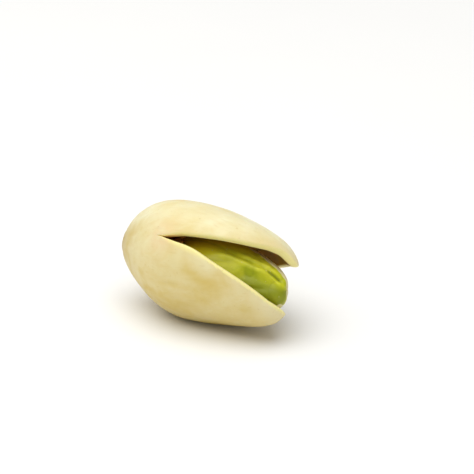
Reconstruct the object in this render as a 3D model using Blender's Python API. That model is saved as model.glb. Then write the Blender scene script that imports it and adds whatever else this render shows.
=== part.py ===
"""A pistachio in its split shell, at rest on its lower valve. Metres, +Z up."""

import math

import bmesh
import bpy
import numpy as np
from mathutils import Euler

# The nut's own frame: the stem end is at the origin, +X runs along the seam to the tip, and the seam where
# the two valves grew together lies in the plane z = 0, with the upper valve above it.
LENGTH = 0.0200
HALF_WIDTH = 0.00613
WALL = 0.00085
SEAM_LEAN = -0.034  # the widest place sits this part of the length nearer the stem than the middle
WIDTH_FORM = {"lean": 0.157, "ends": 0.192, "tip": 0.240, "stem": 0.223}

# The shell has split from the tip back to here, measured from the stem end along the seam.
SPLIT_FRONT = 0.0082
SPLIT_BACK = 0.0055

# Each valve: how deep it is, how its depth runs along the nut, how far it has turned open about the line
# between the two ends of the split, how far its rim bows away from the seam, and how far its tip reaches.
UPPER = {
    "side": 1,
    "depth": 0.00491,
    "form": {"lean": -0.278, "ends": -0.015, "tip": 0.103, "stem": 0.115},
    "opening": math.radians(2.6),
    "bow": 0.00009,
    "reach": 0.0003,
}
LOWER = {
    "side": -1,
    "depth": 0.00630,
    "form": {"lean": -0.060, "ends": 0.129, "tip": -0.007, "stem": 0.313},
    "opening": math.radians(18.1),
    "bow": -0.00044,
    "reach": 0.0009,
}

# The kernel: half its length, width and height, and where its middle lies in the lower valve.
KERNEL_HALF = (0.0080, 0.0040, 0.0035)
KERNEL_MIDDLE = (0.01166, 0.00013, -0.00178)
KERNEL_TURN = Euler((0.0, math.radians(2.7), math.radians(0.9)))
KERNEL_BLUNT = {"stem": 0.95, "tip": 0.70}  # 1 is a round end, and less is a blunter one
KERNEL_WIDTH_FORM = {"lean": -0.17, "ends": 0.30, "tip": 0.14, "stem": 0.10}
KERNEL_HEIGHT_FORM = {"lean": 0.0, "ends": 0.19, "tip": 0.0, "stem": 0.06}
KERNEL_DROOP = 0.00024

# The scrap of seed coat is a curled flake that stands off the stem end of the kernel. It has the kernel's own
# form with these greater half sizes, and its far edge is torn.
COAT_HALF = (0.0085, 0.0046, 0.0040)
COAT_THICKNESS = 0.00025
COAT_START = math.radians(22)
COAT_END = math.radians(70)
COAT_SIDES = (math.radians(50), math.radians(182))
COAT_TEAR = math.radians(7)
COAT_ROWS = 9
COAT_COLUMNS = 22

# At rest the nut lies rolled onto one flank with its tip raised a little, on a small worn flat.
REST_ROLL = math.radians(-34.7)
REST_PITCH = math.radians(-4.9)
FLAT_DEPTH = 0.00022

ROWS = 14
OPEN_COLUMNS = 34
JOINED_COLUMNS = 20


def smooth_step(value):
    """0 below 0, 1 above 1, and an even S between."""
    part = np.clip(value, 0.0, 1.0)
    return part * part * (3.0 - 2.0 * part)


def fullness(along, lean, ends, tip, stem):
    """How full a section is at this place, from -1 at the stem to 1 at the tip."""
    points = tip * ((1.0 + along) / 2.0) ** 4 + stem * ((1.0 - along) / 2.0) ** 4
    return 1.0 + lean * along - ends * along**2 - points


def seam_x(along):
    return LENGTH * ((along + 1.0) / 2.0 + SEAM_LEAN * (1.0 - along**2))


def along_at(distance):
    """The place along the nut, from -1 to 1, where the seam is this far from the stem end."""
    part = distance / LENGTH
    root = math.sqrt(0.25 - 4.0 * SEAM_LEAN * (part - 0.5 - SEAM_LEAN))
    return (0.5 - root) / (2.0 * SEAM_LEAN)


def split_end(distance, side):
    """The angle round the valve, and the point on the seam, where the split ends on one side."""
    along = along_at(distance)
    angle = side * math.acos(along)
    across = HALF_WIDTH * float(fullness(along, **WIDTH_FORM)) * math.sin(angle)
    return angle, across


FRONT_ANGLE, FRONT_ACROSS = split_end(SPLIT_FRONT, -1)
BACK_ANGLE, BACK_ACROSS = split_end(SPLIT_BACK, 1)


def hinge_x(across):
    """The line through the two ends of the split, which the valves turn about."""
    slope = (SPLIT_BACK - SPLIT_FRONT) / (BACK_ACROSS - FRONT_ACROSS)
    return SPLIT_FRONT + slope * (across - FRONT_ACROSS)


def opened(valve, x, y, z):
    """Turns a valve open: the angle round the hinge line closes up evenly from the rim to the stem."""
    hinge = hinge_x(y)
    radius = np.hypot(x - hinge, z)
    turn = np.pi - np.arctan2(z, x - hinge)
    turn = np.pi - turn * (np.pi - valve["opening"]) / np.pi
    ahead = np.clip((x - hinge) / (LENGTH - hinge), 0.0, 1.0)
    bow = valve["bow"] * 6.75 * ahead**2 * (1.0 - ahead)
    return hinge + radius * np.cos(turn), radius * np.sin(turn) + bow


def valve_surface(valve, polar, angle):
    """The outside of a valve: polar is 0 at its crown and a right angle at its rim, angle is 0 at the tip."""
    along = np.sin(polar) * np.cos(angle)
    x = seam_x(along) + valve["reach"] * smooth_step(along)
    y = HALF_WIDTH * fullness(along, **WIDTH_FORM) * np.sin(polar) * np.sin(angle)
    z = valve["depth"] * fullness(along, **valve["form"]) * np.cos(polar)
    x, z = opened(valve, x, y, z)
    return np.stack([x, y, valve["side"] * z], axis=-1)


def column_angles():
    """Even steps over the open stretch and over the joined stretch, with a column at each end of the split."""
    split = np.linspace(FRONT_ANGLE, BACK_ANGLE, OPEN_COLUMNS, endpoint=False)
    joined = np.linspace(BACK_ANGLE, 2 * math.pi + FRONT_ANGLE, JOINED_COLUMNS, endpoint=False)
    return np.concatenate([split, joined])


def add_disc(mesh, points, flip):
    """Adds a disc of faces from rows of points, whose first row is all one point, the disc's middle."""
    rows, columns = points.shape[:2]
    middle = mesh.verts.new(points[0, 0])
    rings = [[mesh.verts.new(point) for point in row] for row in points[1:]]
    for column in range(columns):
        after = (column + 1) % columns
        corners = [middle, rings[0][column], rings[0][after]]
        mesh.faces.new(corners[::-1] if flip else corners)
        for row in range(rows - 2):
            inner, outer = rings[row], rings[row + 1]
            corners = [inner[column], outer[column], outer[after], inner[after]]
            mesh.faces.new(corners[::-1] if flip else corners)


def make_material(name, colour, roughness):
    material = bpy.data.materials.new(name)
    material.use_nodes = True
    shader = material.node_tree.nodes["Principled BSDF"]
    shader.inputs["Base Color"].default_value = (*colour, 1.0)
    shader.inputs["Roughness"].default_value = roughness
    shader.inputs["Metallic"].default_value = 0.0
    material.diffuse_color = (*colour, 1.0)
    return material


def make_object(name, mesh, material, parent):
    data = bpy.data.meshes.new(name)
    mesh.to_mesh(data)
    mesh.free()
    data.shade_smooth()
    made = bpy.data.objects.new(name, data)
    bpy.context.scene.collection.objects.link(made)
    if material:
        data.materials.append(material)
    made.parent = parent
    return made


def make_shell(parent):
    """Both valves as one sheet, welded round the joined stretch of the seam, then given its wall."""
    mesh = bmesh.new()
    polar, angle = np.meshgrid(np.linspace(0.0, np.pi / 2, ROWS + 1), column_angles(), indexing="ij")
    for valve in (UPPER, LOWER):
        add_disc(mesh, valve_surface(valve, polar, angle), flip=valve is LOWER)
    bmesh.ops.remove_doubles(mesh, verts=mesh.verts, dist=1e-6)
    colour = (0.76, 0.66, 0.44)
    shell = make_object("shell", mesh, make_material("shell", colour, 0.5), parent)
    wall = shell.modifiers.new("wall", "SOLIDIFY")
    wall.thickness = WALL
    wall.offset = -1.0
    return shell


def kernel_surface(along, angle, half=KERNEL_HALF):
    """A unit ball stretched, blunted and narrowed towards its ends, and laid in the lower valve."""
    ring = np.sqrt(np.clip(1.0 - along**2, 0.0, 1.0))
    share = (1.0 + along) / 2.0
    ring = ring ** (KERNEL_BLUNT["stem"] * (1.0 - share) + KERNEL_BLUNT["tip"] * share)
    x = half[0] * along
    y = half[1] * fullness(along, **KERNEL_WIDTH_FORM) * ring * np.cos(angle)
    z = half[2] * fullness(along, **KERNEL_HEIGHT_FORM) * ring * np.sin(angle)
    points = np.stack([x, y, z - KERNEL_DROOP * along**2], axis=-1)
    return points @ np.array(KERNEL_TURN.to_matrix()).T + KERNEL_MIDDLE


def make_kernel(parent):
    mesh = bmesh.new()
    bmesh.ops.create_uvsphere(mesh, u_segments=28, v_segments=20, radius=1.0)
    ball = np.array([vertex.co for vertex in mesh.verts])
    points = kernel_surface(ball[:, 2], np.arctan2(ball[:, 1], ball[:, 0]))
    for vertex, point in zip(mesh.verts, points):
        vertex.co = point
    colour = (0.38, 0.42, 0.06)
    return make_object("kernel", mesh, make_material("kernel", colour, 0.45), parent)


def make_seed_coat(parent):
    """A torn patch of the bigger kernel form, given the thickness of paper-thin skin."""
    across = np.linspace(0.0, 1.0, COAT_COLUMNS)
    down = np.linspace(0.0, 1.0, COAT_ROWS)[:, None]
    tear = COAT_TEAR * (0.6 * np.sin(11 * across) + 0.4 * np.sin(23 * across + 1.0))
    polar = COAT_START + (COAT_END - COAT_START + tear) * down
    angle = COAT_SIDES[0] + (COAT_SIDES[1] - COAT_SIDES[0]) * across
    points = kernel_surface(-np.cos(polar), angle, COAT_HALF)
    mesh = bmesh.new()
    bmesh.ops.create_grid(mesh, x_segments=COAT_COLUMNS - 1, y_segments=COAT_ROWS - 1, size=1.0)
    for vertex, point in zip(mesh.verts, points.reshape(-1, 3)):
        vertex.co = point
    bmesh.ops.reverse_faces(mesh, faces=mesh.faces)
    colour = (0.22, 0.09, 0.06)
    coat = make_object("seed_coat", mesh, make_material("seed_coat", colour, 0.8), parent)
    film = coat.modifiers.new("film", "SOLIDIFY")
    film.thickness = COAT_THICKNESS
    film.offset = -1.0
    return coat


def rest_on_flat(nut, shell):
    """Rolls the nut to its resting pose, sets it on z = 0 and cuts the small flat it rests on."""
    nut.rotation_euler = Euler((REST_ROLL, REST_PITCH, 0.0))
    turn = nut.rotation_euler.to_matrix()
    points = np.array([turn @ vertex.co for vertex in shell.data.vertices])
    low, high = points.min(axis=0), points.max(axis=0)
    nut.location = (-(low[0] + high[0]) / 2, -(low[1] + high[1]) / 2, -low[2] - FLAT_DEPTH)
    mesh = bmesh.new()
    bmesh.ops.create_cube(mesh, size=LENGTH)
    bmesh.ops.translate(mesh, verts=mesh.verts, vec=(0.0, 0.0, -LENGTH / 2))
    cutter = make_object("flat_cutter", mesh, None, None)
    cutter.hide_render = True
    cutter.display_type = "WIRE"
    flat = shell.modifiers.new("flat", "BOOLEAN")
    flat.operation = "DIFFERENCE"
    flat.solver = "EXACT"
    flat.object = cutter


def main():
    for old in list(bpy.data.objects):
        bpy.data.objects.remove(old, do_unlink=True)
    nut = bpy.data.objects.new("nut", None)
    bpy.context.scene.collection.objects.link(nut)
    shell = make_shell(nut)
    make_kernel(nut)
    make_seed_coat(nut)
    rest_on_flat(nut, shell)


main()
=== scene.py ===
import math
from functools import partial
import bmesh
import bpy
import numpy as np
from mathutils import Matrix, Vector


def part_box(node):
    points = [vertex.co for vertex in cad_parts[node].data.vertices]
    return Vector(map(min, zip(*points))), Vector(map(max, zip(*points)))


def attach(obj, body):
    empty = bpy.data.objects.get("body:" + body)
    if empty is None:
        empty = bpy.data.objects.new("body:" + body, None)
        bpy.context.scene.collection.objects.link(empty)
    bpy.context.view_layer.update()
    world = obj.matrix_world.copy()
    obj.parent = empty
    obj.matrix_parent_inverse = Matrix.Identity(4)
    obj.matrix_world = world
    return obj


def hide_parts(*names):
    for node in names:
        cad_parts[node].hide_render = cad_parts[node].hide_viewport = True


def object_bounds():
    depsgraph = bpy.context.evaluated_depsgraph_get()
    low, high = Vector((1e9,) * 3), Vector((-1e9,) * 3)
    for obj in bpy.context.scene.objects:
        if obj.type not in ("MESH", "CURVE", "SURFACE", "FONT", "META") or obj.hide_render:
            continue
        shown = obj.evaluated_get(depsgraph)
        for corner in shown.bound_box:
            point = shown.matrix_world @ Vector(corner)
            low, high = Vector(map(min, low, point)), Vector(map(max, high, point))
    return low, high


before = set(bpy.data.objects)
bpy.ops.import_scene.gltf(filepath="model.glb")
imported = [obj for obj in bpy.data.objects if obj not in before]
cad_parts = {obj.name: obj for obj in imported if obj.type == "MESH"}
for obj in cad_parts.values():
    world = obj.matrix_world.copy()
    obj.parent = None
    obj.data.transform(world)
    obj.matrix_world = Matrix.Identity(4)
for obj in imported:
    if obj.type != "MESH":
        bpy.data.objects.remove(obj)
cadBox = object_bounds()
print("frame loaded:", sorted(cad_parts))

# Lengths are in metres. The nut's own frame has its stem end at the origin, +X along the seam to the tip, and
# the seam in z = 0. A form's four shares are explained at fullness.
nut = {
    "length": 0.0200,
    "halfWidth": 0.00613,
    "seamLean": -0.034,
    "widthForm": {"lean": 0.157, "ends": 0.192, "tip": 0.240, "stem": 0.223},
    "splitFront": 0.0082,  # how far from the stem end the split stops on each side
    "splitBack": 0.0055,
    "hookStep": (0.0180, 0.0024),  # where a hooked tip starts to bend, and the length it takes
    "roll": math.radians(-34.7),
    "pitch": math.radians(-4.9),
}
upperValve = {
    "side": 1,
    "depth": 0.00491,
    "form": {"lean": -0.278, "ends": -0.015, "tip": 0.103, "stem": 0.115},
    "opening": math.radians(2.6),
    "bow": 0.00009,
    "reach": 0.0003,  # how far the tip end is drawn out
    "hook": 0.00038,  # how far the tip bends down
    # the share of the painted rim highlight on this valve
    "lipHighlightShare": 0.2,
    # the rim stands up by its lift, but in front it is cut back, and most of all in a bell near the tip
    "rim": {
        "lift": 0.00010,
        "cut": 0.00027,
        "cutBell": (0.00034, 0.0128, 0.0019),  # height, place past the hinge and width
        "cutRamp": (0.0001, 0.0021),  # where the cut starts past the hinge, and the length it takes
        "frontStep": (0.0007, -0.0022),  # where the front starts across the nut, and the width it takes
    },
}
lowerValve = {
    "side": -1,
    "depth": 0.00630,
    "form": {"lean": -0.060, "ends": 0.129, "tip": -0.007, "stem": 0.313},
    "opening": math.radians(18.1),
    "bow": -0.00044,
    "reach": 0.0009,
    "hook": 0.0,
    "lipHighlightShare": 1.0,
    # the rim rises near the hinge and dips further on
    "rim": {
        "riseBell": (0.00027, 0.0034, 0.0020),
        "riseStep": (0.0, 0.001),
        "dipBell": (-0.00017, 0.0085, 0.0034),
    },
}
valves = (upperValve, lowerValve)
normalStep = 1e-3  # radians, for the differences that normals are read from
poleClear = 2e-3  # radians, how far from a pole or the hinge they are read
strideStep = 0.01  # radians, for how many metres of a valve one radian covers at its rim
lattice = {"mix": (127.1, 311.7, 74.7), "seedStep": 19.19, "scale": 43758.5453, "offset": 57.3}


def smoothStep(value):  # 0 below 0, 1 above 1, and 3t^2 - 2t^3 between
    part = np.clip(value, 0.0, 1.0)
    return part * part * (3.0 - 2.0 * part)


def stepFrom(value, start, over):
    # a smooth step from 0 at the start to 1 after the length it takes, downwards if that is negative
    return smoothStep((value - start) / over)


def hump(value):  # a bell, exp(-t^2)
    return np.exp(-value**2)


def bell(value, height, middle, width):  # its height times exp(-t^2), with t the distance over the width
    return height * hump((value - middle) / width)


def unit(vectors):  # each vector over its own length
    return vectors / np.maximum(np.linalg.norm(vectors, axis=-1, keepdims=True), 1e-12)


def distanceTo(points, spot=(0.0, 0.0, 0.0)):  # the length of the difference
    return np.linalg.norm(points - np.array(spot), axis=-1)


def fullness(along, lean, ends, tip, stem):
    # 1 + lean t - ends t^2, less a fourth power that sharpens each end, for t from -1 at the stem to 1
    points = tip * ((1.0 + along) / 2.0) ** 4 + stem * ((1.0 - along) / 2.0) ** 4
    return 1.0 + lean * along - ends * along**2 - points


def skinNormals(surface, first, second):
    # the cross product of the two central differences of the surface
    acrossFirst = surface(first + normalStep, second) - surface(first - normalStep, second)
    acrossSecond = surface(first, second + normalStep) - surface(first, second - normalStep)
    return unit(np.cross(acrossFirst, acrossSecond))


def latticeValue(cell, seed):
    # the fractional part of a large sine of the cell's three numbers: the same value at every run
    mixed = cell @ np.array(lattice["mix"]) + lattice["seedStep"] * seed
    return np.modf(np.abs(np.sin(mixed) * lattice["scale"]))[0]


def softNoise(points, size, seed, stretch=1.0):
    # lattice values blended by smooth steps between the eight corners of each cell, from -1 to 1, with the
    # cells stretched along X
    place = points / (size * np.array([stretch, 1.0, 1.0])) + lattice["offset"]
    cell = np.floor(place)
    part = smoothStep(place - cell)
    total = 0.0
    for corner in np.ndindex(2, 2, 2):
        corner = np.array(corner)
        weight = np.prod(np.where(corner == 1, part, 1.0 - part), axis=-1)
        total = total + weight * latticeValue(cell + corner, seed)
    return total * 2.0 - 1.0


def noiseSum(points, patterns):  # a sum of soft noises, each given by its height, size, seed and stretch
    return sum(height * softNoise(points, *pattern) for height, *pattern in patterns)


def aboutX(angle):  # the matrix of cosines and sines that turns points about one axis
    cos, sin = math.cos(angle), math.sin(angle)
    return np.array([[1, 0, 0], [0, cos, -sin], [0, sin, cos]])


def aboutY(angle):
    cos, sin = math.cos(angle), math.sin(angle)
    return np.array([[cos, 0, sin], [0, 1, 0], [-sin, 0, cos]])


def aboutZ(angle):
    cos, sin = math.cos(angle), math.sin(angle)
    return np.array([[cos, -sin, 0], [sin, cos, 0], [0, 0, 1]])


def seamX(along):  # half of t + 1, with the middle of the length drawn towards the stem
    return nut["length"] * ((along + 1.0) / 2.0 + nut["seamLean"] * (1.0 - along**2))


def splitEnd(distance, side):
    # the root of seamX(t) = distance, then the angle whose cosine it is and how far across it lies
    lean = nut["seamLean"]
    root = math.sqrt(0.25 - 4.0 * lean * (distance / nut["length"] - 0.5 - lean))
    along = (0.5 - root) / (2.0 * lean)
    angle = side * math.acos(along)
    return angle, nut["halfWidth"] * fullness(along, **nut["widthForm"]) * math.sin(angle)


frontAcross = splitEnd(nut["splitFront"], -1)[1]
backAcross = splitEnd(nut["splitBack"], 1)[1]


def hingeX(across):  # the straight line through the two ends of the split
    slope = (nut["splitBack"] - nut["splitFront"]) / (backAcross - frontAcross)
    return nut["splitFront"] + slope * (across - frontAcross)


def openedValve(valve, x, y, z):
    # in polar form round the hinge line, the angle from the stem side shrinks by the opening's share of pi,
    # then a bump of 6.75 u^2 (1 - u), which is 1 at its highest, bows the rim
    hinge = hingeX(y)
    radius = np.hypot(x - hinge, z)
    fromStem = np.pi - np.arctan2(z, x - hinge)
    opened = np.pi - fromStem * (np.pi - valve["opening"]) / np.pi
    ahead = np.clip((x - hinge) / (nut["length"] - hinge), 0.0, 1.0)
    bow = valve["bow"] * 6.75 * ahead**2 * (1.0 - ahead)
    return hinge + radius * np.cos(opened), radius * np.sin(opened) + bow


def valveSkin(valve, polar, angle):
    # a unit half ball whose length, width and depth are each scaled along the nut, then turned open, with
    # a hooked tip bent down by a smooth step
    along = np.sin(polar) * np.cos(angle)
    x = seamX(along) + valve["reach"] * smoothStep(along)
    y = nut["halfWidth"] * fullness(along, **nut["widthForm"]) * np.sin(polar) * np.sin(angle)
    z = valve["depth"] * fullness(along, **valve["form"]) * np.cos(polar)
    x, z = openedValve(valve, x, y, z)
    z = valve["side"] * z - valve["hook"] * stepFrom(x, *nut["hookStep"])
    return np.stack([x, y, z], axis=-1)


# The resting pose: rolled about the nut's length, then tipped, and set down so that it fills the CAD box.
turn = aboutY(nut["pitch"]) @ aboutX(nut["roll"])
coarseRows, coarseColumns = 90, 360
coarse = np.meshgrid(
    np.linspace(0, np.pi / 2, coarseRows), np.linspace(0, 2 * np.pi, coarseColumns), indexing="ij",
)
plainSkin = np.concatenate([valveSkin(valve, *coarse).reshape(-1, 3) for valve in valves]) @ turn.T
shellLow, shellHigh = (np.array(corner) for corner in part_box("shell"))
middleShift = (shellLow + shellHigh) / 2 - (plainSkin.min(0) + plainSkin.max(0)) / 2
shift = np.array([middleShift[0], middleShift[1], shellHigh[2] - plainSkin[:, 2].max()])


def setDown(points):  # from the nut's own frame to the row's frame: turned, then shifted
    return points @ turn.T + shift


def pressedFlat(points, softness=0.00003):
    # nothing passes below the surface: z becomes half of z + sqrt(z^2 + s^2), a soft floor at 0
    z = points[..., 2]
    floorZ = (z + np.sqrt(z**2 + softness**2)) / 2.0
    return np.stack([points[..., 0], points[..., 1], floorZ], axis=-1)


class Patchwork:  # gathers grids of points and their faces, to be welded into one mesh
    def __init__(self):
        self.points, self.faces, self.marks, self.count = [], [], [], 0

    def add(self, grid, marks, closeRound=False, flip=False):
        # a face joins each point to the next in its row and to the two after them in the next row
        rows, columns = grid.shape[:2]
        index = np.arange(rows * columns).reshape(rows, columns) + self.count
        if closeRound:
            index = np.concatenate([index, index[:, :1]], axis=1)
        corners = [index[:-1, :-1], index[1:, :-1], index[1:, 1:], index[:-1, 1:]]
        if flip:
            corners.reverse()
        self.faces.append(np.stack(corners, axis=-1).reshape(-1, 4))
        self.points.append(grid.reshape(-1, 3))
        shape = (rows, columns)
        self.marks.append({name: np.broadcast_to(value, shape).ravel() for name, value in marks.items()})
        self.count += rows * columns

    def finish(self, name, weld=3e-8):  # points nearer to each other than the weld become one
        points = np.concatenate(self.points)
        mesh = bpy.data.meshes.new(name)
        mesh.from_pydata(points.tolist(), [], np.concatenate(self.faces).tolist())
        for mark in self.marks[0]:
            layer = mesh.attributes.new(mark, "FLOAT", "POINT")
            values = np.concatenate([part[mark] for part in self.marks]).astype(np.float32)
            layer.data.foreach_set("value", values)
        joined = bmesh.new()
        joined.from_mesh(mesh)
        bmesh.ops.remove_doubles(joined, verts=joined.verts, dist=weld)
        bmesh.ops.dissolve_degenerate(joined, edges=joined.edges, dist=weld / 2)
        joined.to_mesh(mesh)
        joined.free()
        mesh.shade_smooth()
        piece = bpy.data.objects.new(name, mesh)
        bpy.context.scene.collection.objects.link(piece)
        return piece


class Finish:
    # A material wired from a look, a dictionary of its name, its shader's values, its colours, its noises by
    # size, detail, roughness, stretch along the nut and swirl, and its layers. Each layer has a colour, the
    # mark it follows, and then either nothing and a share, or a source, which is a noise or another mark, and
    # the ramp it passes: low, high, and the values at each.
    def __init__(self, look):
        self.look = look
        self.material = bpy.data.materials.new(look["name"])
        self.material.use_nodes = True
        self.nodes = self.material.node_tree.nodes
        self.links = self.material.node_tree.links
        self.shader = self.nodes["Principled BSDF"]
        for socket, value in look["shader"].items():
            self.shader.inputs[socket].default_value = value
        # patterns run along the nut, so Object coordinates are turned back into the nut's own frame
        own = self.nodes.new("ShaderNodeMapping")
        own.vector_type = "TEXTURE"
        own.inputs["Location"].default_value = shift
        own.inputs["Rotation"].default_value = (nut["roll"], nut["pitch"], 0.0)
        self.links.new(self.nodes.new("ShaderNodeTexCoord").outputs["Object"], own.inputs["Vector"])
        self.place = own.outputs["Vector"]
        self.noises = {name: self.noise(*form) for name, form in look["noises"].items()}

    def plug(self, socket, value):  # links another socket, or sets a number or a colour
        if isinstance(value, bpy.types.NodeSocket):
            self.links.new(value, socket)
        else:
            socket.default_value = value

    def mark(self, name):  # a value painted on the mesh when it was made
        node = self.nodes.new("ShaderNodeAttribute")
        node.attribute_name = name
        return node.outputs["Fac"]

    def noise(self, size, detail=2.0, rough=0.5, stretch=1.0, swirl=0.0):  # about 0 to 1
        scaled = self.nodes.new("ShaderNodeMapping")
        scaled.inputs["Scale"].default_value = (1.0 / (size * stretch), 1.0 / size, 1.0 / size)
        self.links.new(self.place, scaled.inputs["Vector"])
        node = self.nodes.new("ShaderNodeTexNoise")
        self.links.new(scaled.outputs["Vector"], node.inputs["Vector"])
        settings = {"Scale": 1.0, "Detail": detail, "Roughness": rough, "Distortion": swirl}
        for socket, value in settings.items():
            node.inputs[socket].default_value = value
        return node.outputs["Fac"]

    def math(self, operation, first, second):  # one sum or product of two values
        node = self.nodes.new("ShaderNodeMath")
        node.operation = operation
        self.plug(node.inputs[0], first)
        self.plug(node.inputs[1], second)
        return node.outputs[0]

    def ramp(self, source, low, high, start=0.0, end=1.0):  # a smooth step from start at low to end at high
        node = self.nodes.new("ShaderNodeMapRange")
        node.interpolation_type = "SMOOTHSTEP"
        value = self.noises[source] if source in self.noises else self.mark(source)
        for socket, setting in zip(node.inputs, (value, low, high, start, end)):
            self.plug(socket, setting)
        return node.outputs[0]

    def blend(self, amount, first, second):  # from the first colour to the second by the amount
        node = self.nodes.new("ShaderNodeMix")
        node.data_type = "RGBA"
        self.plug(node.inputs[0], amount)
        # a Mix node has its two colours at inputs 6 and 7, and their mix at output 2
        for socket, colour in ((node.inputs[6], first), (node.inputs[7], second)):
            self.plug(socket, colour if isinstance(colour, bpy.types.NodeSocket) else (*colour, 1.0))
        return node.outputs[2]

    def amount(self, mark, source, form):  # how much of a layer shows: its mark times the share or the ramp
        value = self.ramp(source, *form) if source else form
        return self.math("MULTIPLY", self.mark(mark), value) if mark else value

    def total(self, amounts):  # a sum of amounts
        values = [self.amount(*amount) for amount in amounts]
        while len(values) > 1:
            values[:2] = [self.math("ADD", values[0], values[1])]
        return values[0]

    def layered(self, colour, colours):  # each layer's colour goes over the ones before it
        for name, mark, source, form in self.look["layers"]:
            colour = self.blend(self.amount(mark, source, form), colour, colours[name])
        return colour

    def bump(self, height):  # fine grain only, as all larger relief is in the mesh
        node = self.nodes.new("ShaderNodeBump")
        node.inputs["Strength"].default_value, node.inputs["Distance"].default_value = self.look["bump"]
        self.links.new(height, node.inputs["Height"])
        self.links.new(node.outputs["Normal"], self.shader.inputs["Normal"])

    def done(self, colour, roughness):
        self.plug(self.shader.inputs["Base Color"], colour)
        self.plug(self.shader.inputs["Roughness"], roughness)
        return self.material


shell = {
    "wall": 0.00085,
    "edgeRound": 0.00026,  # how deep the rounding of the split edge runs
    "edgePower": 0.7,  # below 1, so that the edge is squared off
    "edgeFade": 0.0012,  # the length of seam over which the rounding comes in
    "crackReach": 0.0008,  # a fine crack runs this far past the split
    "crackDepth": 0.00005,
    "hingeClear": 0.0004,  # nearer the hinge than this, the rim's normals aren't read across it
    "outerRows": 100,
    "innerRows": 46,
    "openColumns": 150,
    "joinedColumns": 90,
    "edgeRows": 12,
    "patterns": (  # slow swells, small dimples and long veins: height, size, seed and stretch
        (0.00008, 0.0048, 3),
        (0.000022, 0.0015, 7),
        (0.000012, 0.0006, 11, 7.0),
    ),
    "joinFade": 0.0015,  # behind the hinge line, the length over which the seam counts as joined
    "lip": (0.00005, 0.0, 0.00060),  # a bell of the distance from the seam, along the split
    "lipFade": 0.9,  # the share of it that is gone where the seam is joined
    "seamLine": (-0.00001, 0.0, 0.00012),
    "scarRing": (0.00007, 0.0010, 0.00022),  # bells of the distance from the stem end
    "scarHollow": (-0.00018, 0.0, 0.0007),
    # painted marks: steps by their start and the length they take, and bells by height, middle and width
    "marks": {
        "lowerStep": (0.0, 0.0025),  # of the distance from the seam
        "crownStep": (0.0030, 0.0035),
        "tipSeamStep": (0.003, -0.003),
        "lipSeamStep": (0.00055, -0.00055),
        "tipStep": (0.0165, 0.0035),  # of the distance along the nut
        "lipStep": (0.0085, 0.001),
        "stainShadeStep": (0.0080, -0.0080),  # of the distance from the stem end: a stem-end stain, partly painted shade
        "stainShadeAbove": 0.55,  # the share of it on the upper valve
        "stemBell": (1.0, 0.0, 0.0014),
        "floorShadeStep": (0.0054, -0.0054),  # of the height as the nut rests: painted shade low down near the floor
        "splitEndBell": (1.0, 0.0, 0.0016),  # of the distance from an end of the split
    },
    "look": {
        "name": "creamShell",
        "shader": {
            "Specular IOR Level": 0.3,
            "Subsurface Weight": 0.12,
            "Subsurface Scale": 0.0006,
            "Subsurface Radius": (1.0, 0.6, 0.3),
        },
        "colours": {
            "pale": (0.87, 0.82, 0.54),
            "tan": (0.68, 0.505, 0.125),
            # a stain colour, also used for painted shade at the stem end and near the floor
            "stainAndShade": (0.49, 0.35, 0.065),
            "vein": (0.62, 0.46, 0.17),
            "peach": (0.82, 0.60, 0.32),
            "edge": (0.93, 0.84, 0.35),
            "tip": (0.84, 0.74, 0.44),
            "corner": (0.55, 0.19, 0.02),
            "scar": (0.36, 0.23, 0.10),
            "inside": (0.58, 0.33, 0.06),
            "insideStain": (0.34, 0.17, 0.03),
        },
        "noises": {
            "broad": (0.0046, 2.5, 0.55, 1.6, 0.5),
            "small": (0.0013, 3.0, 0.6, 1.5, 0.3),
            "streak": (0.00028, 2.0, 0.5, 11.0),
            "speck": (0.00035, 1.0),
            "grain": (0.00012, 2.0, 0.6),
        },
        "tan": (  # a sum of amounts, each given like a layer's
            # the lower valve's tan: partly its own colour, partly painted shade where it faces down
            ("lowerTanShade", None, 0.62),
            ("crown", None, 0.38),
            (None, "broad", (0.35, 0.70, -0.10, 0.32)),
            (None, "small", (0.3, 0.7, -0.07, 0.10)),
        ),
        "insideStain": ("broad", 0.4, 0.65),
        "layers": (
            # painted shade at the stem end and low down near the floor, over a real stem-end stain
            ("stainAndShade", "stainAndShade", "broad", (0.3, 0.7, 0.5, 0.9)),
            ("vein", None, "streak", (0.55, 0.80, 0.0, 0.22)),
            ("tip", "tip", "small", (0.35, 0.6, 0.1, 0.5)),
            # a paler band along the rim: partly its own paler colour, partly a painted highlight where the
            # rounded edge catches the light, most of all on the lower valve
            ("edge", "lip", None, 0.8),
            ("vein", None, "speck", (0.70, 0.78, 0.0, 0.35)),
            ("peach", "splitEnds", "small", (0.3, 0.6, 0.25, 0.7)),
            ("scar", "stem", "small", (0.3, 0.7, 0.5, 1.0)),
            ("inside", None, "inside", (0.45, 0.95)),
            ("edge", None, "edge", (0.15, 0.9, 0.0, 0.85)),
            ("corner", "splitEnds", "inside", (0.25, 0.6)),
        ),
        "streakBump": 0.8,  # how much of the streaks goes into the bump, beside the grain
        "bump": (0.8, 0.000012),  # strength and distance
        "roughness": ("small", 0.3, 0.7, 0.36, 0.52),
    },
}


def shellRelief(points, fromSeam, joined):
    # noises, plus a lip along the split, a line in the joined seam and a sunken scar in a raised ring
    relief = noiseSum(points, shell["patterns"])
    relief += bell(fromSeam, *shell["lip"]) * (1.0 - shell["lipFade"] * joined)
    relief += bell(fromSeam, *shell["seamLine"]) * joined
    fromStem = distanceTo(points)
    return relief + bell(fromStem, *shell["scarRing"]) + bell(fromStem, *shell["scarHollow"])


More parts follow.
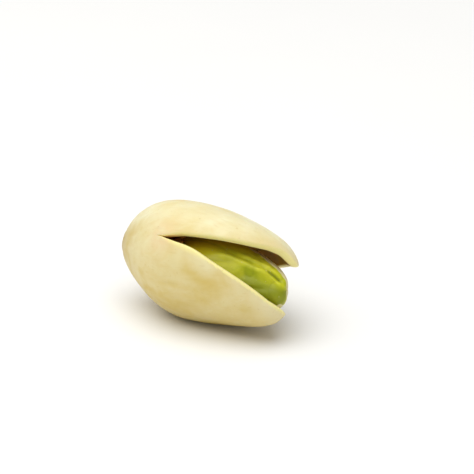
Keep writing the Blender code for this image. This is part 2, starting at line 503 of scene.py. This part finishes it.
def rimShift(valve, past, across):
    # how far the rim stands beyond the plain seam, from a few bells and steps of its distance past the hinge
    rim = valve["rim"]
    if valve is upperValve:
        start, over = rim["cutRamp"]
        ramp = np.clip((past - start) / over, 0.0, 1.0) * stepFrom(across, *rim["frontStep"])
        return rim["lift"] - (rim["lift"] + rim["cut"] + bell(past, *rim["cutBell"])) * ramp
    return bell(past, *rim["riseBell"]) * stepFrom(past, *rim["riseStep"]) + bell(past, *rim["dipBell"])


def shellMarks(points, fromSeam, valve):
    # how much each point belongs to the lower valve, the stem end, the ends of the split and so on, by steps
    # and bells of how far it is from them
    marks = shell["marks"]
    # the lower valve, whose tan is partly painted shade
    lowerTanShade = 0.5 - 0.5 * valve["side"] * stepFrom(fromSeam, *marks["lowerStep"])
    upper = 0.5 + 0.5 * valve["side"]
    fromStem = distanceTo(points)
    fromEnds = (
        distanceTo(points, (nut["splitFront"], frontAcross, 0.0)),
        distanceTo(points, (nut["splitBack"], backAcross, 0.0)),
    )
    above = marks["stainShadeAbove"]
    # darker at the stem end: a stain, partly painted shade, with more of it on the lower valve
    stain = stepFrom(fromStem, *marks["stainShadeStep"]) * (above + (1.0 - above) * lowerTanShade)
    # near the rim past the split: partly a painted highlight, its share set by each valve
    lip = stepFrom(fromSeam, *marks["lipSeamStep"]) * stepFrom(points[..., 0], *marks["lipStep"])
    return {
        "lowerTanShade": lowerTanShade,
        "splitEnds": sum(bell(distance, *marks["splitEndBell"]) for distance in fromEnds),
        "stem": bell(fromStem, *marks["stemBell"]),
        # and painted shade low down, where the nut rests on the floor
        "stainAndShade": stain + stepFrom(setDown(points)[..., 2], *marks["floorShadeStep"]),
        "crown": upper * stepFrom(fromSeam, *marks["crownStep"]),
        "tip": stepFrom(points[..., 0], *marks["tipStep"]) * stepFrom(fromSeam, *marks["tipSeamStep"]),
        "lip": lip * valve["lipHighlightShare"],
    }


def seamAngles():
    # even steps round the open stretch, crack to crack, then round the joined one, and which are closed
    front = splitEnd(nut["splitFront"] - shell["crackReach"], -1)[0]
    back = splitEnd(nut["splitBack"] - shell["crackReach"], 1)[0]
    split = np.linspace(front, back, shell["openColumns"], endpoint=False)
    joined = np.linspace(back, 2 * np.pi + front, shell["joinedColumns"], endpoint=False)
    closed = np.arange(split.size + joined.size) >= split.size
    closed[0] = True
    return np.concatenate([split, joined]), closed


def findRim(valve, angle, closed):
    # the sheets stop at the seam, plus the rim's shift and less the rounding of its edge, which both fade out
    # towards the hinge: metres there, over the metres that one radian covers
    flat = np.full_like(angle, np.pi / 2)
    rim = valveSkin(valve, flat, angle)
    stride = distanceTo(rim, valveSkin(valve, flat - strideStep, angle)) / strideStep
    tangent = valveSkin(valve, flat, angle + normalStep) - valveSkin(valve, flat, angle - normalStep)
    past = rim[:, 0] - hingeX(rim[:, 1])
    fade = stepFrom(past, -shell["crackReach"], shell["edgeFade"]) * ~closed
    cutBack = (shell["edgeRound"] + shell["crackDepth"]) * fade
    return {
        "stride": stride,
        "fade": fade,
        "stop": np.pi / 2 + (rimShift(valve, past, rim[:, 1]) * fade - cutBack) / stride,
        "highest": np.where(past > shell["hingeClear"], np.pi, np.pi / 2 - poleClear),
        "closed": closed,
        "seamNormal": unit(np.cross(tangent, [0.0, 0.0, 1.0])),  # both valves share it where they are joined
    }


def addSheet(work, valve, angle, rim, inner):
    # the valve's skin from its pole to its rim, raised along its normals by the relief, and for the inner
    # sheet let down by the wall
    rows = shell["innerRows"] if inner else shell["outerRows"]
    polar = np.linspace(0.0, 1.0, rows)[:, None] * rim["stop"]
    around = np.broadcast_to(angle, polar.shape)
    points = valveSkin(valve, polar, around)
    normals = skinNormals(partial(valveSkin, valve), np.clip(polar, poleClear, rim["highest"]), around)
    normals = normals * valve["side"]
    normals[-1, rim["closed"]] = rim["seamNormal"][rim["closed"]]
    fromSeam = (np.pi / 2 - polar) * rim["stride"]
    joined = stepFrom(hingeX(points[..., 1]) - points[..., 0], 0.0, shell["joinFade"])
    marks = shellMarks(points, fromSeam, valve)
    points = points + normals * shellRelief(points, fromSeam, joined)[..., None]
    if inner:
        points = points - normals * shell["wall"]
    points[0] = points[0].mean(axis=0)  # the pole closes to one point
    marks.update(inside=float(inner), edge=0.0)
    work.add(pressedFlat(setDown(points)), marks, closeRound=True, flip=(valve["side"] < 0) != inner)
    return points


def addEdge(work, valve, outer, inner, fade):
    # a squared-off half ellipse across the wall: cos and sin, each to a power under 1
    power = shell["edgePower"]
    run = unit(outer[-1] - outer[-2]) * (shell["edgeRound"] * fade)[:, None]
    sweep = np.linspace(0.0, np.pi, shell["edgeRows"])[:, None, None]
    across = np.sign(np.cos(sweep)) * np.abs(np.cos(sweep)) ** power
    edge = (outer[-1] + inner[-1]) / 2 + (outer[-1] - inner[-1]) / 2 * across + run * np.sin(sweep) ** power
    marks = shellMarks(edge, np.zeros(edge.shape[:2]), valve)
    marks.update(inside=sweep[..., 0] / np.pi, edge=np.sin(sweep[..., 0]))
    work.add(pressedFlat(setDown(edge)), marks, flip=valve["side"] < 0)


def buildShell():
    # each valve is an outer sheet, an inner sheet and, round the open stretch, an edge from one to the other
    work = Patchwork()
    angle, closed = seamAngles()
    openStretch = slice(0, shell["openColumns"] + 1)
    for valve in valves:
        rim = findRim(valve, angle, closed)
        outer = addSheet(work, valve, angle, rim, inner=False)
        inner = addSheet(work, valve, angle, rim, inner=True)
        addEdge(work, valve, outer[:, openStretch], inner[:, openStretch], rim["fade"][openStretch])
    return work.finish("shellPiece")


def shellFinish():
    look = shell["look"]
    finish = Finish(look)
    colours = dict(look["colours"])
    stain = finish.ramp(*look["insideStain"])
    colours["inside"] = finish.blend(stain, colours["inside"], colours["insideStain"])
    base = finish.blend(finish.total(look["tan"]), colours["pale"], colours["tan"])
    streaks = finish.math("MULTIPLY", finish.noises["streak"], look["streakBump"])
    finish.bump(finish.math("ADD", finish.noises["grain"], streaks))
    return finish.done(finish.layered(base, colours), finish.ramp(*look["roughness"]))


kernel = {
    "half": (0.0080, 0.0040, 0.0035),
    "middle": (0.01166, 0.00013, -0.00178),
    "pitch": math.radians(2.7),
    "yaw": math.radians(0.9),
    "bluntStem": 0.95,  # the power that each end's ring is drawn out by
    "bluntTip": 0.70,
    "widthForm": {"lean": -0.17, "ends": 0.30, "tip": 0.14, "stem": 0.10},
    "heightForm": {"lean": 0.0, "ends": 0.19, "tip": 0.0, "stem": 0.06},
    "droop": 0.00024,
    "rows": 190,
    "columns": 330,
    # each fold: from and to along the kernel, from and to round it in degrees, height and width
    "folds": (
        (0.05, 0.90, 158, 153, 0.00018, 0.00034),
        (0.84, 0.98, 156, 168, 0.00012, 0.00022),
        (0.45, 0.98, 180, 176, -0.00018, 0.00062),
        (0.20, 0.62, 147, 146, -0.00004, 0.00024),
        (0.40, 0.93, 140, 134, 0.00010, 0.00030),
        (0.76, 0.99, 145, 153, -0.00015, 0.00019),
        (0.30, 0.92, 203, 200, -0.00010, 0.00028),
        (0.10, 0.70, 216, 219, 0.00008, 0.00040),
        (-0.90, 0.97, 8, 3, -0.00022, 0.00020),
        (-0.80, 0.60, 62, 70, -0.00014, 0.00030),
        (-0.60, 0.80, 262, 255, -0.00010, 0.00035),
    ),
    "foldSway": (1.6, 11),  # degrees, and waves along the kernel
    "foldEase": 4,  # a fold rises and falls over a quarter of its length
    "foldRadius": 0.0037,
    "sharpFold": 0.00027,  # folds narrower than this are grooves
    "patterns": ((0.00007, 0.0024, 21, 2.0), (0.000018, 0.0006, 25)),  # height, size, seed and stretch
    # ridged noise: size, seed and stretch, how narrow its lines are, their power and their depth
    "crease": {"pattern": (0.0016, 23, 8.0), "narrow": 1.5, "power": 4, "depth": 0.00004},
    "wrinkle": {"pattern": (0.0011, 26, 2.4), "narrow": 1.0, "power": 7, "depth": 0.00005},
    "wrinkleLeast": 0.35,  # the share of the wrinkles at the stem end, and the step that brings in the rest
    "wrinkleStep": (0.35, 0.4),
    "tipBulge": {"along": 0.95, "degrees": 296, "height": 0.00042, "width": 0.0013},
    "scrap": {"along": 0.945, "degrees": 279, "height": 0.00014, "width": 0.00034},
    "scrapTear": ((0.5, 0.00025, 31),),
    "scrapStep": (0.35, 0.2),  # how its skin comes in, and how its paler part does
    "scrapPaleStep": (0.3, 0.2),
    # papery skin covers the far side, from a ragged edge at this many degrees round the kernel
    "skinEdge": 111,
    "skinThickness": 0.00003,
    "skinFade": 0.06,
    "skinRagged": ((0.22, 0.0019, 27), (0.07, 0.0005, 28)),
    "skinWorn": ((1.0, 0.0022, 29, 2.6), (0.3, 0.0007, 30, 2.0)),
    "skinWornStep": (-0.55, 0.25),
    "skinUnworn": (1.0, 0.0, 0.10),  # a bell of the angle from its edge, where it isn't worn through
    "skinPaler": (1.0, 0.0, 0.30),  # and one where it is paler
    "marks": {
        # painted shade in narrow grooves, creases and wrinkles
        "grooveDepth": 0.00014,
        "creaseShare": 0.35,
        "wrinkleShare": 0.4,
        # a painted highlight on the raised folds
        "ridgeHeight": 0.00015,
        "underShade": (240.0, 84.0, 54.0),  # painted shade where the kernel faces down, in degrees: its middle, its half width and its fade
        # a lighter olive-brown near the stem end: painted light where the upper valve shades the kernel
        "olivePaintedLight": {"reach": 0.30, "above": 0.30, "slope": 1.6, "start": 0.4, "over": 0.6},
    },
    "look": {
        "name": "greenKernel",
        "shader": {
            "Specular IOR Level": 0.28,
            "Subsurface Weight": 0.22,
            "Subsurface Scale": 0.0009,
            "Subsurface Radius": (0.9, 1.0, 0.2),
        },
        "colours": {
            "green": (0.42, 0.48, 0.006),
            "yellow": (0.70, 0.69, 0.022),
            # painted light: a lighter olive-brown for the shaded stem end
            "olivePaintedLight": (0.92, 0.68, 0.02),
            # a darker green for painted shade on the underside
            "undersideShade": (0.24, 0.27, 0.008),
            "grooveShade": (0.16, 0.18, 0.005),
            "ridgeHighlight": (0.84, 0.83, 0.07),
            "skin": (0.44, 0.27, 0.15),
            "skinPale": (0.72, 0.66, 0.36),
        },
        "noises": {
            "broad": (0.0030, 2.0, 0.5, 2.0, 0.6),
            "small": (0.0008, 3.0, 0.55, 2.5, 0.4),
            "fleck": (0.00022, 1.0),
            "grain": (0.00016, 2.0, 0.6),
        },
        "yellow": ("broad", 0.36, 0.62),
        "layers": (
            ("green", None, "small", (0.50, 0.72, 0.0, 0.45)),
            # painted light at the stem end, under the upper valve
            ("olivePaintedLight", "olivePaintedLight", None, 0.92),
            # a darker green underside: painted shade
            ("undersideShade", "underShade", None, 0.85),
            # painted highlight on the ridges
            ("ridgeHighlight", "ridgeHighlight", None, 0.6),
            # painted shade in the grooves
            ("grooveShade", "grooveShade", None, 0.75),
            ("skinPale", None, "fleck", (0.71, 0.78, 0.0, 0.5)),
            ("skin", "skin", None, 1.0),
        ),
        "paleSkin": (  # a sum of amounts, each given like a layer's
            (None, "small", (0.35, 0.65)),
            ("skinEdge", None, 1.0),
        ),
        "smallBump": 1.5,  # how much of the small noise goes into the bump, beside the grain
        "bump": (0.8, 0.00002),
        "roughness": ("small", 0.3, 0.7, 0.30, 0.46),
    },
}


def kernelSkin(polar, angle, half=kernel["half"]):
    # a unit ball, its ring drawn out by a power that blunts the ends, with width and height scaled along it
    along = -np.cos(polar)
    share = (1.0 + along) / 2.0
    power = kernel["bluntStem"] * (1.0 - share) + kernel["bluntTip"] * share
    ring = np.maximum(np.sin(polar), 0.0) ** power
    x = half[0] * along
    y = half[1] * fullness(along, **kernel["widthForm"]) * ring * np.cos(angle)
    z = half[2] * fullness(along, **kernel["heightForm"]) * ring * np.sin(angle)
    points = np.stack([x, y, z - kernel["droop"] * along**2], axis=-1)
    kernelTurn = aboutZ(kernel["yaw"]) @ aboutY(kernel["pitch"])
    return points @ kernelTurn.T + np.array(kernel["middle"])


def lumpAt(points, along, degrees, height, width, stretch=1.0):
    # a bell of the distance from one spot on the kernel, in shares of its width, and its height
    spot = kernelSkin(np.array(math.acos(-along)), np.array(math.radians(degrees)))
    return hump(distanceTo(points, spot) / width * stretch), height


def aroundFrom(angle, degrees):  # the turn from one direction round the kernel to another, from -pi to pi
    return (angle - np.radians(degrees) + np.pi) % (2 * np.pi) - np.pi


def foldRelief(polar, angle, folds):
    # each fold is a bell across its line, which sways a little, and rises and falls smoothly along it
    along, relief, ease = -np.cos(polar), 0.0, kernel["foldEase"]
    sway, waves = kernel["foldSway"]
    for start, end, startTurn, endTurn, height, width in folds:
        share = (along - start) / (end - start)
        line = startTurn + (endTurn - startTurn) * np.clip(share, 0.0, 1.0)
        line = line + sway * np.sin(waves * along + startTurn)
        aside = aroundFrom(angle, line) * kernel["foldRadius"] * np.sin(polar)
        rise = smoothStep(share * ease) * smoothStep((1 - share) * ease)
        relief = relief + height * hump(aside / width) * rise
    return relief


def ridged(points, pattern, narrow, power):  # 1 less the size of a soft noise, to a power: thin lines
    return np.clip(1.0 - narrow * np.abs(softNoise(points, *pattern)), 0.0, 1.0) ** power


def skinCover(points, angle, scrap):
    # how much papery skin covers each point: a ragged step past its edge, worn through in places by noise but
    # not along the edge, and a scrap. The second value is how pale it is.
    inside = np.pi / 2 - np.abs(aroundFrom(angle, kernel["skinEdge"] - 90.0))
    skin = smoothStep((inside + noiseSum(points, kernel["skinRagged"])) / kernel["skinFade"])
    worn = stepFrom(noiseSum(points, kernel["skinWorn"]), *kernel["skinWornStep"])
    skin = skin * np.maximum(worn, bell(inside, *kernel["skinUnworn"]))
    cover = np.maximum(skin, stepFrom(scrap, *kernel["scrapStep"]))
    return cover, np.maximum(bell(inside, *kernel["skinPaler"]), stepFrom(scrap, *kernel["scrapPaleStep"]))


def kernelMarks(polar, angle, folds, crease, wrinkle):
    # painted shade in the grooves and a painted highlight on the ridges, by their depth and height, painted
    # shade on the underside by its angle, and lighter olive-brown near the stem end, painted light against
    # the upper valve's shade, which reaches further on the upper side
    marks = kernel["marks"]
    sharp = foldRelief(polar, angle, [fold for fold in kernel["folds"] if fold[-1] <= kernel["sharpFold"]])
    lines = np.maximum(marks["creaseShare"] * crease, marks["wrinkleShare"] * wrinkle)
    middle, half, fade = marks["underShade"]
    fromUnder = np.abs(aroundFrom(angle, middle))
    olivePaintedLight = marks["olivePaintedLight"]
    reach = olivePaintedLight["reach"] + olivePaintedLight["above"] * smoothStep(np.sin(angle) * olivePaintedLight["slope"] - olivePaintedLight["start"])
    return {
        "grooveShade": np.maximum(np.clip(-sharp / marks["grooveDepth"], 0.0, 1.0), lines),
        "ridgeHighlight": np.clip(folds / marks["ridgeHeight"], 0.0, 1.0),
        "underShade": stepFrom(fromUnder, np.radians(half), -np.radians(fade)),
        "olivePaintedLight": smoothStep((reach + np.cos(polar)) / olivePaintedLight["over"]),
    }


def buildKernel():
    # the kernel's skin, raised along its normals by its folds, noises, lumps and papery skin, and let down by
    # its creases and wrinkles
    work = Patchwork()
    polar, angle = np.meshgrid(
        np.linspace(0.0, np.pi, kernel["rows"]),
        np.linspace(0.0, 2 * np.pi, kernel["columns"], endpoint=False),
        indexing="ij",
    )
    points = kernelSkin(polar, angle)
    normals = -skinNormals(kernelSkin, np.clip(polar, poleClear, np.pi - poleClear), angle)
    folds = foldRelief(polar, angle, kernel["folds"])
    crease, wrinkle = (
        ridged(points, line["pattern"], line["narrow"], line["power"])
        for line in (kernel["crease"], kernel["wrinkle"])
    )
    least = kernel["wrinkleLeast"]
    wrinkle = wrinkle * (least + (1.0 - least) * stepFrom(-np.cos(polar), *kernel["wrinkleStep"]))
    tipBulge, bulgeHeight = lumpAt(points, **kernel["tipBulge"])
    torn = 1.0 + noiseSum(points, kernel["scrapTear"])
    scrap, scrapHeight = lumpAt(points, **kernel["scrap"], stretch=torn)
    skin, paler = skinCover(points, angle, scrap)
    relief = folds + noiseSum(points, kernel["patterns"])
    relief -= kernel["crease"]["depth"] * crease + kernel["wrinkle"]["depth"] * wrinkle
    relief += bulgeHeight * tipBulge + scrapHeight * scrap + kernel["skinThickness"] * skin
    points = points + normals * relief[..., None]
    points[[0, -1]] = points[[0, -1]].mean(axis=1, keepdims=True)  # both poles close to one point
    marks = kernelMarks(polar, angle, folds, crease, wrinkle)
    marks.update(skin=skin, skinEdge=paler)
    work.add(setDown(points), marks, closeRound=True, flip=True)
    return work.finish("kernelPiece")


def kernelFinish():
    look = kernel["look"]
    finish = Finish(look)
    colours = dict(look["colours"])
    colours["skin"] = finish.blend(finish.total(look["paleSkin"]), colours["skin"], colours["skinPale"])
    base = finish.blend(finish.ramp(*look["yellow"]), colours["green"], colours["yellow"])
    small = finish.math("MULTIPLY", finish.noises["small"], look["smallBump"])
    finish.bump(finish.math("ADD", finish.noises["grain"], small))
    return finish.done(finish.layered(base, colours), finish.ramp(*look["roughness"]))


coat = {
    "half": (0.0085, 0.0046, 0.0040),  # the kernel's own form, a little bigger
    "thickness": 0.00016,
    "polar": (math.radians(22), math.radians(70)),
    "sides": (math.radians(50), math.radians(182)),
    "tear": math.radians(7),
    "tearWaves": ((0.6, 11, 0.0), (0.4, 23, 1.0), (0.12, 67, 0.0)),  # share, waves and where each starts
    "crinkle": ((0.00006, 0.0009, 31, 2.0), (0.00003, 0.00035, 33)),
    "curl": 0.00010,  # how far the torn edge lifts, and the step that lifts it
    "curlStep": (0.75, 0.25),
    "rows": 90,
    "columns": 150,
    "look": {
        "name": "paperySkin",
        "shader": {"Specular IOR Level": 0.08},
        "colours": {"dark": (0.52, 0.15, 0.012), "light": (0.74, 0.30, 0.04), "torn": (0.70, 0.36, 0.09)},
        "noises": {"folds": (0.00045, 3.0, 0.6, 2.5, 0.8)},
        "light": ("folds", 0.35, 0.65),
        "layers": (("torn", None, "torn", (0.8, 1.0, 0.0, 0.6)),),
        "bump": (0.8, 0.00003),
        "roughness": ("folds", 0.3, 0.7, 0.6, 0.85),
    },
}


def coatSkin(polar, angle):  # kernelSkin with the coat's own half sizes
    return kernelSkin(polar, angle, coat["half"])


def buildCoat():
    # a patch of the coat's skin, its far edge torn by a sum of sine waves, with a second sheet one thickness
    # inside it and a strip along each of its four edges
    work = Patchwork()
    across = np.linspace(0.0, 1.0, coat["columns"])
    down = np.linspace(0.0, 1.0, coat["rows"])[:, None]
    tear = sum(share * np.sin(waves * across + start) for share, waves, start in coat["tearWaves"])
    start, end = coat["polar"]
    polar = start + (end - start + coat["tear"] * tear) * down
    left, right = coat["sides"]
    angle = np.broadcast_to(left + (right - left) * across, polar.shape)
    points = coatSkin(polar, angle)
    normals = -skinNormals(coatSkin, polar, angle)
    curl = coat["curl"] * stepFrom(down, *coat["curlStep"])
    outer = points + normals * (noiseSum(points, coat["crinkle"]) + curl)[..., None]
    inner = outer - normals * coat["thickness"]
    work.add(setDown(outer), {"torn": down}, flip=True)
    work.add(setDown(inner), {"torn": down})
    for outerLine, innerLine, flip in (
        (outer[0], inner[0], False),
        (outer[-1], inner[-1], True),
        (outer[:, 0], inner[:, 0], True),
        (outer[:, -1], inner[:, -1], False),
    ):
        work.add(setDown(np.stack([outerLine, innerLine])), {"torn": 1.0}, flip=flip)
    return work.finish("seedCoatPiece")


def coatFinish():
    look = coat["look"]
    finish = Finish(look)
    base = finish.blend(finish.ramp(*look["light"]), look["colours"]["dark"], look["colours"]["light"])
    finish.bump(finish.noises["folds"])
    return finish.done(finish.layered(base, look["colours"]), finish.ramp(*look["roughness"]))


view = {
    "azimuth": math.radians(32.48),
    "elevation": math.radians(21.6),
    "distance": 0.230,
    "lens": 176.4,  # the lens and the sensor in mm, as the camera has them
    "sensor": 36.0,
    "clipStart": 0.01,
    "aim": (0.00193, 0.00242, 0.00219),  # from the middle of the model's box
}


def placeCamera():
    data = bpy.data.cameras.new("camera")
    data.lens = view["lens"]
    data.sensor_width = view["sensor"]
    data.clip_start = view["clipStart"]
    camera = bpy.data.objects.new("camera", data)
    bpy.context.scene.collection.objects.link(camera)
    back = np.array([
        math.sin(view["azimuth"]) * math.cos(view["elevation"]),
        -math.cos(view["azimuth"]) * math.cos(view["elevation"]),
        math.sin(view["elevation"]),
    ])
    middle = (np.array(cadBox[0]) + np.array(cadBox[1])) / 2
    camera.location = middle + np.array(view["aim"]) + back * view["distance"]
    camera.rotation_euler = (math.pi / 2 - view["elevation"], 0.0, view["azimuth"])
    bpy.context.scene.camera = camera


studio = {
    "floorHalf": 1.2,
    "world": 0.40,
    "lit": (0.0, 0.0, 0.006),  # what the lights are aimed at
    "softboxes": (
        # name, place, size, power, colour
        ("overhead", (-0.05, -0.08, 0.42), 0.66, 2.35, (1.0, 0.99, 0.96)),
    ),
    "look": {
        "name": "paleFloor",
        "shader": {},
        "colours": {"darker": (0.90, 0.90, 0.90), "paler": (0.93, 0.93, 0.925)},
        "noises": {"cloudy": (0.03, 2.0)},
        "roughness": 0.7,
    },
}


def floorFinish():
    look = studio["look"]
    finish = Finish(look)
    colour = finish.blend(finish.noises["cloudy"], look["colours"]["darker"], look["colours"]["paler"])
    return finish.done(colour, look["roughness"])


def layFloor():
    half = studio["floorHalf"]
    mesh = bpy.data.meshes.new("floor")
    corners = [(-half, -half, 0.0), (half, -half, 0.0), (half, half, 0.0), (-half, half, 0.0)]
    mesh.from_pydata(corners, [], [(0, 1, 2, 3)])
    floor = bpy.data.objects.new("floor", mesh)
    bpy.context.scene.collection.objects.link(floor)
    mesh.materials.append(floorFinish())


def lightStudio():
    world = bpy.data.worlds.new("studio")
    world.use_nodes = True
    world.node_tree.nodes["Background"].inputs["Color"].default_value = (1.0, 1.0, 1.0, 1.0)
    world.node_tree.nodes["Background"].inputs["Strength"].default_value = studio["world"]
    bpy.context.scene.world = world
    for name, place, size, power, colour in studio["softboxes"]:
        data = bpy.data.lights.new(name, "AREA")
        data.shape = "DISK"
        data.size = size
        data.energy = power
        data.color = colour
        lamp = bpy.data.objects.new(name, data)
        lamp.location = place
        aim = np.array(studio["lit"]) - np.array(place)
        tilt = math.atan2(math.hypot(aim[0], aim[1]), -aim[2])
        lamp.rotation_euler = (tilt, 0.0, math.atan2(aim[0], -aim[1]) + math.pi)
        bpy.context.scene.collection.objects.link(lamp)
    bpy.context.scene.view_settings.view_transform = "Standard"


placeCamera()
layFloor()
lightStudio()
print("camera and studio placed")

for build, finish, node in (
    (buildShell, shellFinish, "shell"),
    (buildKernel, kernelFinish, "kernel"),
    (buildCoat, coatFinish, "seed_coat"),
):
    piece = build()
    piece.data.materials.append(finish())
    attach(piece, "root")
    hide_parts(node)
    print("built", piece.name, len(piece.data.polygons), "faces")
